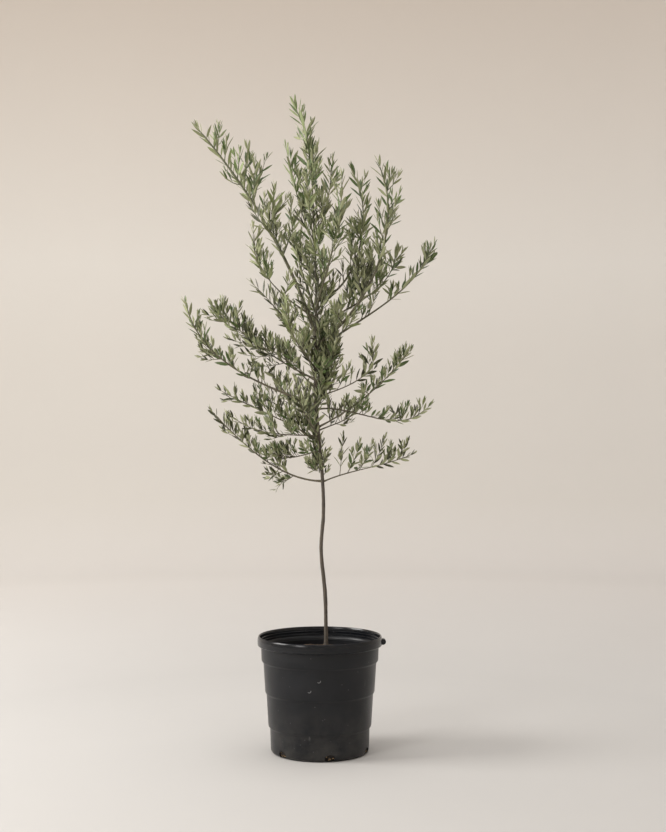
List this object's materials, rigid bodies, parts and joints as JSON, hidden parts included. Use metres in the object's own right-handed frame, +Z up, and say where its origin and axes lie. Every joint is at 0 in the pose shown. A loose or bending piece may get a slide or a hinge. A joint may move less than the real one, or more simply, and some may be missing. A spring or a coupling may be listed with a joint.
{
  "type": "potted olive tree",
  "caption": "Young olive tree with a slim bare lower trunk and an open, airy crown of narrow grey-green leaves, standing in a round black plastic nursery pot of soil.",
  "frame": {"origin": "centre of the pot's flat underside, on the surface that it stands on", "axes": "+Z up along the pot's axis, +X to the right and -Y towards the viewer, as the plant is seen from the front"},
  "size_m": [0.7312, 0.5493, 1.8754],
  "materials": {
    "plastic": "black moulded plastic, satin",
    "soil": "rough brown potting mix of bark and peat",
    "bark": "young grey-brown bark, matt",
    "leaf": "leathery grey-green above, silvery below"
  },
  "bodies": {
    "root": {"pot": "plastic", "soil": "soil", "trunk": "bark", "bough_back_high": "bark", "bough_back_low": "bark", "bough_back_mid": "bark", "bough_back_right_low": "bark", "bough_front_high": "bark", "bough_front_low": "bark", "bough_front_mid": "bark", "bough_left_arching": "bark", "bough_left_bare": "bark", "bough_left_forked": "bark", "bough_left_high": "bark", "bough_left_level": "bark", "bough_left_low": "bark", "bough_left_lowest": "bark", "bough_left_mid": "bark", "bough_left_sprig": "bark", "bough_right_high": "bark", "bough_right_inner": "bark", "bough_right_low": "bark", "bough_right_lowest": "bark", "bough_right_mid": "bark", "bough_right_outer": "bark", "bough_right_upright": "bark", "bough_upper_left": "bark", "bough_upper_right": "bark", "leaves_back_high": "leaf", "leaves_back_low": "leaf", "leaves_back_mid": "leaf", "leaves_back_right_low": "leaf", "leaves_front_high": "leaf", "leaves_front_low": "leaf", "leaves_front_mid": "leaf", "leaves_leader": "leaf", "leaves_left_arching": "leaf", "leaves_left_bare": "leaf", "leaves_left_forked": "leaf", "leaves_left_high": "leaf", "leaves_left_level": "leaf", "leaves_left_low": "leaf", "leaves_left_lowest": "leaf", "leaves_left_mid": "leaf", "leaves_left_sprig": "leaf", "leaves_right_high": "leaf", "leaves_right_inner": "leaf", "leaves_right_low": "leaf", "leaves_right_lowest": "leaf", "leaves_right_mid": "leaf", "leaves_right_outer": "leaf", "leaves_right_spur": "leaf", "leaves_right_upright": "leaf", "leaves_spur_low": "leaf", "leaves_top_front": "leaf", "leaves_top_left": "leaf", "leaves_top_right": "leaf", "leaves_upper_left": "leaf", "leaves_upper_right": "leaf"}
  },
  "joints": []
}
